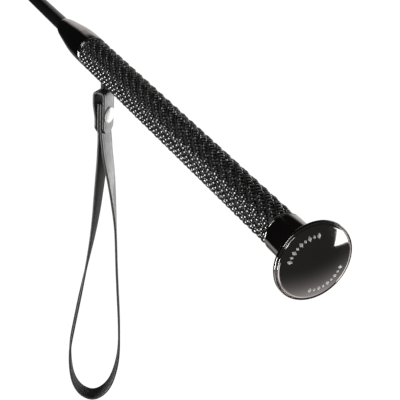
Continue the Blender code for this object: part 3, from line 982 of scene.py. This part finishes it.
def make_stitches():
    """The stitches along the tongue's edge, on both its faces."""
    shape = bmesh.new()
    start, end = 0.5165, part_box("tongue_layer_left")[1].x
    inset = 2.0 * MM
    for side in (1, -1):
        route = []
        count = 60
        for index in range(count + 1):
            x = start + (end - inset - start) * index / count
            route.append(Vector((x, 0, max(tongue_half_width(x + inset * 0.6) - inset, 0))))
        edge = route + [Vector((p.x, 0, -p.z)) for p in reversed(route)]
        length, lengths = 0.0, [0.0]
        for a, b in zip(edge, edge[1:]):
            length += (b - a).length
            lengths.append(length)
        pitch, stitch = 2.6 * MM, 1.9 * MM
        for number in range(int(length / pitch)):
            ends = []
            for at in (number * pitch, number * pitch + stitch):
                index = max(i for i, v in enumerate(lengths) if v <= at)
                index = min(index, len(edge) - 2)
                span = max(lengths[index + 1] - lengths[index], 1e-9)
                ends.append(edge[index].lerp(edge[index + 1], (at - lengths[index]) / span))
            a, b = ends
            ahead = (b - a).normalized()
            out = Vector((0, side, 0))
            wide = ahead.cross(out)
            rings = []
            for share, size in ((0.0, 0.4), (0.2, 0.9), (0.5, 1.0), (0.8, 0.9), (1.0, 0.4)):
                middle = a.lerp(b, share) + out * (1.93 * MM)
                ring = []
                for angle in circle(6):
                    offset = wide * math.cos(angle) + out * math.sin(angle)
                    ring.append(shape.verts.new(middle + offset * (0.3 * MM * size)))
                rings.append(ring)
            skin(shape, rings)
    place(to_object(shape, "tongue_stitches", THREAD, 80.0), "tongue", "thread")


# ---------------------------------------------------------------- floor and light


def glow(name, colour, strength):
    material = bpy.data.materials.new(name)
    material.use_nodes = True
    tree = material.node_tree
    tree.nodes.clear()
    light = tree.nodes.new("ShaderNodeEmission")
    light.inputs["Color"].default_value = (*colour, 1.0)
    light.inputs["Strength"].default_value = strength
    out = tree.nodes.new("ShaderNodeOutputMaterial")
    tree.links.new(light.outputs[0], out.inputs[0])
    return material


def only_camera_sees(obj):
    obj.visible_glossy = False
    obj.visible_diffuse = False
    obj.visible_shadow = False


def make_stage():
    """A pale floor under a pale sky, both plain."""
    pale = glow("pale", (1.0, 1.0, 1.0), 1.05)
    shape = bmesh.new()
    bmesh.ops.create_grid(shape, x_segments=1, y_segments=1, size=7.0)
    floor = to_object(shape, "floor", pale)
    floor.location = (0.2, 0, -0.62)
    only_camera_sees(floor)
    shape = bmesh.new()
    bmesh.ops.create_icosphere(shape, subdivisions=3, radius=9.0)
    sky = to_object(shape, "sky", pale, 80.0)
    only_camera_sees(sky)


def make_world():
    """What the shiny pieces reflect: a dark studio with a bright wall behind the crop and a pale
    floor under it."""
    world = bpy.data.worlds.new("studio")
    bpy.context.scene.world = world
    world.use_nodes = True
    tree = world.node_tree
    background = tree.nodes["Background"]
    coordinates = tree.nodes.new("ShaderNodeTexCoord")
    direction = coordinates.outputs["Generated"]

    def dot(vector):
        node = tree.nodes.new("ShaderNodeVectorMath")
        node.operation = "DOT_PRODUCT"
        tree.links.new(direction, node.inputs[0])
        node.inputs[1].default_value = vector
        return node.outputs["Value"]

    def step(value, low, high):
        node = tree.nodes.new("ShaderNodeMapRange")
        node.interpolation_type = "SMOOTHSTEP"
        node.inputs["From Min"].default_value = low
        node.inputs["From Max"].default_value = high
        tree.links.new(value, node.inputs["Value"])
        return node.outputs["Result"]

    def combine(operation, first, second):
        node = tree.nodes.new("ShaderNodeMath")
        node.operation = operation
        for socket, value in zip(node.inputs, (first, second)):
            if isinstance(value, float):
                socket.default_value = value
            else:
                tree.links.new(value, socket)
        return node.outputs["Value"]

    # The wall behind the crop, seen in the far flanks of the collar and the ferrule.
    ahead = step(dot((1.0, 0.0, 0.0)), 0.25, 0.6)
    wall = combine("MULTIPLY", step(dot((0.0, -1.0, 0.12)), 0.07, 0.30), ahead)
    wall = combine("MULTIPLY", wall, step(dot((0.0, 0.6, -1.0)), -0.68, -0.45))
    wall = combine("MULTIPLY", wall, 0.74)
    # A narrow gleam low on the far side, seen in the collar's near flank.
    near = combine("MULTIPLY", step(dot((0.735, 0.22, -0.641)), 0.982, 0.997), 0.42)
    low = combine("MULTIPLY", step(dot((0.78, -0.05, -0.62)), 0.93, 0.995), 0.12)
    near = combine("MAXIMUM", near, low)
    # The floor in front of the crop, seen in the lower half of the knob's face.
    floor = combine("MAXIMUM", dot((0.45, 0.0, -0.8)), 0.0)
    floor = combine("MULTIPLY", combine("POWER", floor, 3.0), 7.0)
    floor = combine("ADD", floor, 0.035)
    floor = combine("MULTIPLY", floor, step(dot((-1.0, 0.0, 0.0)), -0.02, 0.24))
    total = combine("ADD", combine("MAXIMUM", wall, combine("MAXIMUM", near, floor)), 0.009)
    tree.links.new(total, background.inputs["Strength"])
    background.inputs["Color"].default_value = (1.0, 0.97, 0.95, 1.0)


def soft_light(name, target, direction, distance, width, height, watts):
    """A rectangular light that shines at target from a direction and a distance."""
    data = bpy.data.lights.new(name, "AREA")
    data.shape = "RECTANGLE"
    data.size = width
    data.size_y = height
    data.energy = watts
    obj = bpy.data.objects.new(name, data)
    bpy.context.scene.collection.objects.link(obj)
    obj.location = target + Vector(direction).normalized() * distance
    obj.rotation_mode = "QUATERNION"
    obj.rotation_quaternion = (target - obj.location).to_track_quat("-Z", "Y")
    obj.visible_camera = False


def make_lights():
    strap = Vector((0.10, 0, -0.10))
    middle = Vector((0.0, 0, 0.0))
    knob = Vector((-0.146, 0, 0.0))
    # Beside the strap, for the outer face of its far leg.
    soft_light("side_box", strap, (0.12, -0.93, -0.22), 1.1, 0.8, 1.25, 10.5)
    # To the left, for the stones low on the camera's side of the grip.
    soft_light("left_box", middle, (0.1, 0.9, -0.3), 1.0, 0.42, 0.46, 11.0)
    # From beside the camera, for the crowns of the stones that face it.
    soft_light("front_box", middle, (-0.70, 0.62, 0.32), 1.0, 0.20, 0.20, 1.3)
    # To the left and above, for the stones on top.
    soft_light("upper_box", middle, (0.02, 0.7, 0.72), 1.0, 0.34, 0.34, 2.0)
    # For the strap's edges low down.
    soft_light("low_box", strap, (-0.84, 0.40, -0.467), 1.0, 0.5, 0.5, 1.5)
    # A window that shows near the rim of the knob.
    soft_light("window_box", knob, (-0.54, -0.82, -0.18), 1.0, 0.38, 0.34, 1.7)


make_knob()
make_ornament()
make_collar()
make_ferrule()
make_shaft()
make_ribbon()
make_stones()
make_beads()
make_strap()
make_tab()
make_rivet()
make_tongue()
make_whipping()
make_stitches()
make_stage()
make_world()
make_lights()
bpy.context.scene.view_settings.view_transform = "Standard"
